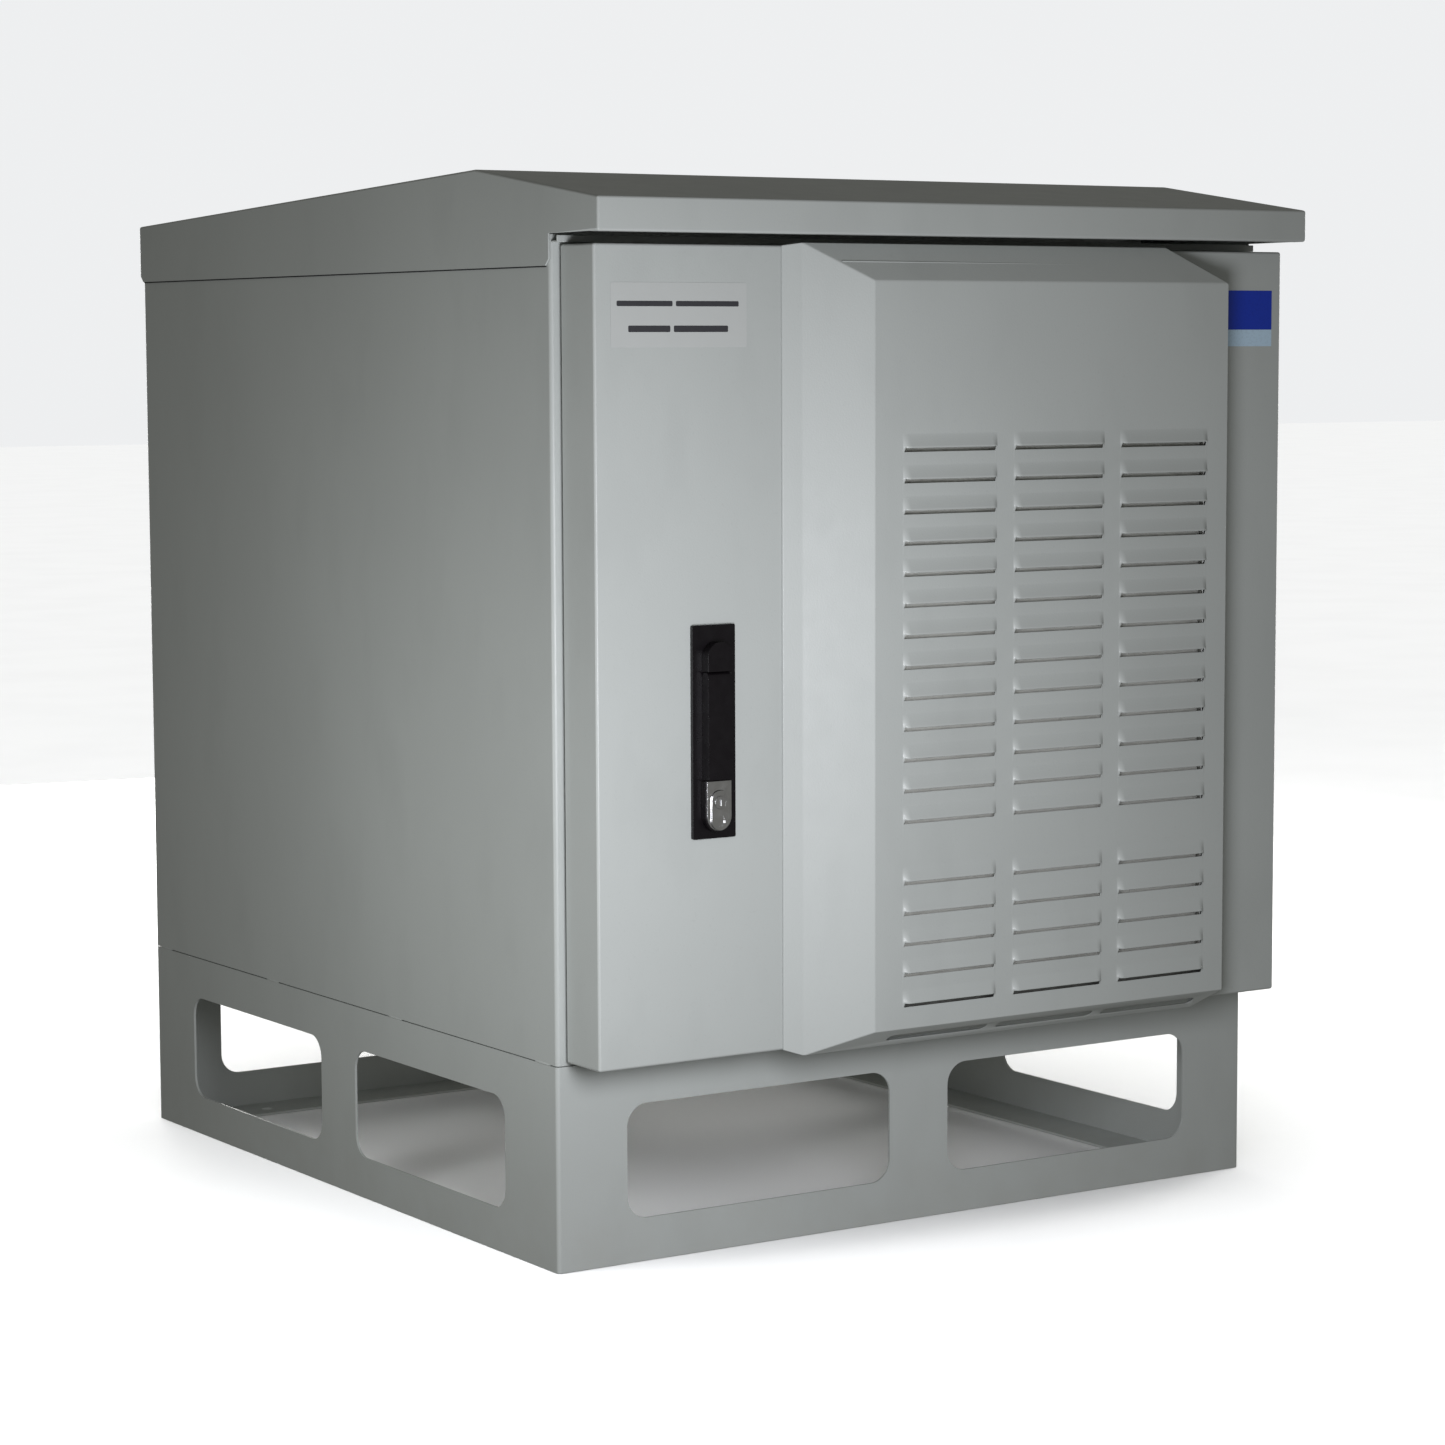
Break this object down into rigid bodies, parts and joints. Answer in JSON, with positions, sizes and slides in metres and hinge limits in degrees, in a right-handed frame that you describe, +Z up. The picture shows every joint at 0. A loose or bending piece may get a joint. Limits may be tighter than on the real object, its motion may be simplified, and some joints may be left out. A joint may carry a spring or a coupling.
{
  "type": "battery box",
  "caption": "Outdoor battery cabinet: windowed steel plinth, overhanging pitched roof, hinged door with a louvred hood, swing handle, batteries on a tray and a breaker panel.",
  "frame": {"origin": "on the floor, under the middle of the cabinet's box", "axes": "+X to the viewer's right when facing the door, +Y from the door to the rear, +Z up"},
  "size_m": [0.8536, 1.0104, 1.05],
  "materials": {
    "grey_paint": "light grey textured powder coat, semi-gloss",
    "inner_paint": "light grey powder coat",
    "zinc_steel": "zinc-plated sheet steel",
    "chrome_metal": "chrome-plated die casting",
    "black_plastic": "satin black moulded plastic",
    "grey_plastic": "moulded battery case",
    "light_plastic": "moulded breaker case",
    "copper_bar": "bare copper bar",
    "foam_rubber": "cellular sealing rubber",
    "filter_fleece": "polyester filter fleece"
  },
  "bodies": {
    "cabinet": {"plinth_front_panel": "grey_paint", "plinth_rear_panel": "grey_paint", "plinth_left_panel": "grey_paint", "plinth_right_panel": "grey_paint", "floor_plate": "inner_paint", "left_side_panel": "grey_paint", "right_side_panel": "grey_paint", "rear_panel": "grey_paint", "ceiling_plate": "inner_paint", "door_frame": "grey_paint", "rain_gutter": "grey_paint", "roof_cover": "grey_paint", "roof_support": "zinc_steel", "latch_keeper_top": "zinc_steel", "latch_keeper_bottom": "zinc_steel", "battery_tray": "zinc_steel", "battery_block_1": "grey_plastic", "battery_block_2": "grey_plastic", "battery_block_3": "grey_plastic", "battery_block_4": "grey_plastic", "battery_link_1": "copper_bar", "battery_link_2": "copper_bar", "battery_link_3": "copper_bar", "battery_clamp_bar": "zinc_steel", "equipment_shelf": "inner_paint", "rack_rail_left": "zinc_steel", "rack_rail_right": "zinc_steel", "breaker_panel": "inner_paint", "breaker_1": "light_plastic", "breaker_2": "light_plastic", "gland_plate": "zinc_steel", "cable_gland_1": "black_plastic", "cable_gland_2": "black_plastic", "earth_bar": "copper_bar", "hinge_base_1": "grey_paint", "hinge_base_2": "grey_paint", "hinge_pin_1": "zinc_steel", "hinge_pin_2": "zinc_steel"},
    "door": {"hinge_leaf_1": "grey_paint", "hinge_leaf_2": "grey_paint", "door_shell": "grey_paint", "door_gasket": "foam_rubber", "louvre_hood": "grey_paint", "filter_frame": "zinc_steel", "filter_mat": "filter_fleece", "fan_housing_1": "black_plastic", "fan_housing_2": "black_plastic", "handle_plate": "black_plastic", "lock_housing": "chrome_metal"},
    "handle": {"handle_hub": "black_plastic", "latch_spindle": "zinc_steel"},
    "lever": {"handle_lever": "black_plastic"},
    "lock_button": {"lock_button": "chrome_metal"},
    "lock_core": {"lock_core": "chrome_metal"},
    "latch_rod_upper": {"latch_rod_upper": "zinc_steel"},
    "latch_rod_lower": {"latch_rod_lower": "zinc_steel"},
    "fan_rotor_1": {"fan_rotor_1": "black_plastic"},
    "fan_rotor_2": {"fan_rotor_2": "black_plastic"},
    "breaker_toggle_1": {"breaker_toggle_1": "black_plastic"},
    "breaker_toggle_2": {"breaker_toggle_2": "black_plastic"}
  },
  "joints": [
    {"name": "door_hinge", "type": "hinge", "parent": "cabinet", "child": "door", "pos_m": [0.4215, -0.40625, 0.59], "axis": [0, 0, 1], "range_deg": [0, 110]},
    {"name": "handle_turn", "type": "hinge", "parent": "door", "child": "handle", "pos_m": [-0.2889, -0.46705, 0.5905], "axis": [0, 1, 0], "range_deg": [0, 90]},
    {"name": "lever_lift", "type": "hinge", "parent": "handle", "child": "lever", "pos_m": [-0.2889, -0.47295, 0.57], "axis": [-1, 0, 0], "range_deg": [0, 40]},
    {"name": "lock_press", "type": "slide", "parent": "door", "child": "lock_button", "axis": [0, 1, 0], "range_m": [0, 0.003], "stiffness_N_per_m": 300},
    {"name": "key_turn", "type": "hinge", "parent": "lock_button", "child": "lock_core", "pos_m": [-0.2889, -0.47575, 0.452], "axis": [0, 1, 0], "range_deg": [0, 90]},
    {"name": "upper_rod_slide", "type": "slide", "parent": "door", "child": "latch_rod_upper", "axis": [0, 0, -1], "range_m": [0, 0.018]},
    {"name": "lower_rod_slide", "type": "slide", "parent": "door", "child": "latch_rod_lower", "axis": [0, 0, 1], "range_m": [0, 0.018]},
    {"name": "fan_1_spin", "type": "hinge", "parent": "door", "child": "fan_rotor_1", "pos_m": [0.0981, -0.44195, 0.4], "axis": [0, 1, 0], "continuous": true},
    {"name": "fan_2_spin", "type": "hinge", "parent": "door", "child": "fan_rotor_2", "pos_m": [0.0981, -0.44195, 0.64], "axis": [0, 1, 0], "continuous": true},
    {"name": "breaker_1_switch", "type": "hinge", "parent": "cabinet", "child": "breaker_toggle_1", "pos_m": [-0.04, -0.32205, 0.82], "axis": [1, 0, 0], "range_deg": [0, 76]},
    {"name": "breaker_2_switch", "type": "hinge", "parent": "cabinet", "child": "breaker_toggle_2", "pos_m": [0.04, -0.32205, 0.82], "axis": [1, 0, 0], "range_deg": [0, 76]}
  ],
  "couplings": [
    {"joint": "upper_rod_slide", "follows": "handle_turn", "m_per_rad": 0.0114},
    {"joint": "lower_rod_slide", "follows": "handle_turn", "m_per_rad": 0.0114}
  ]
}
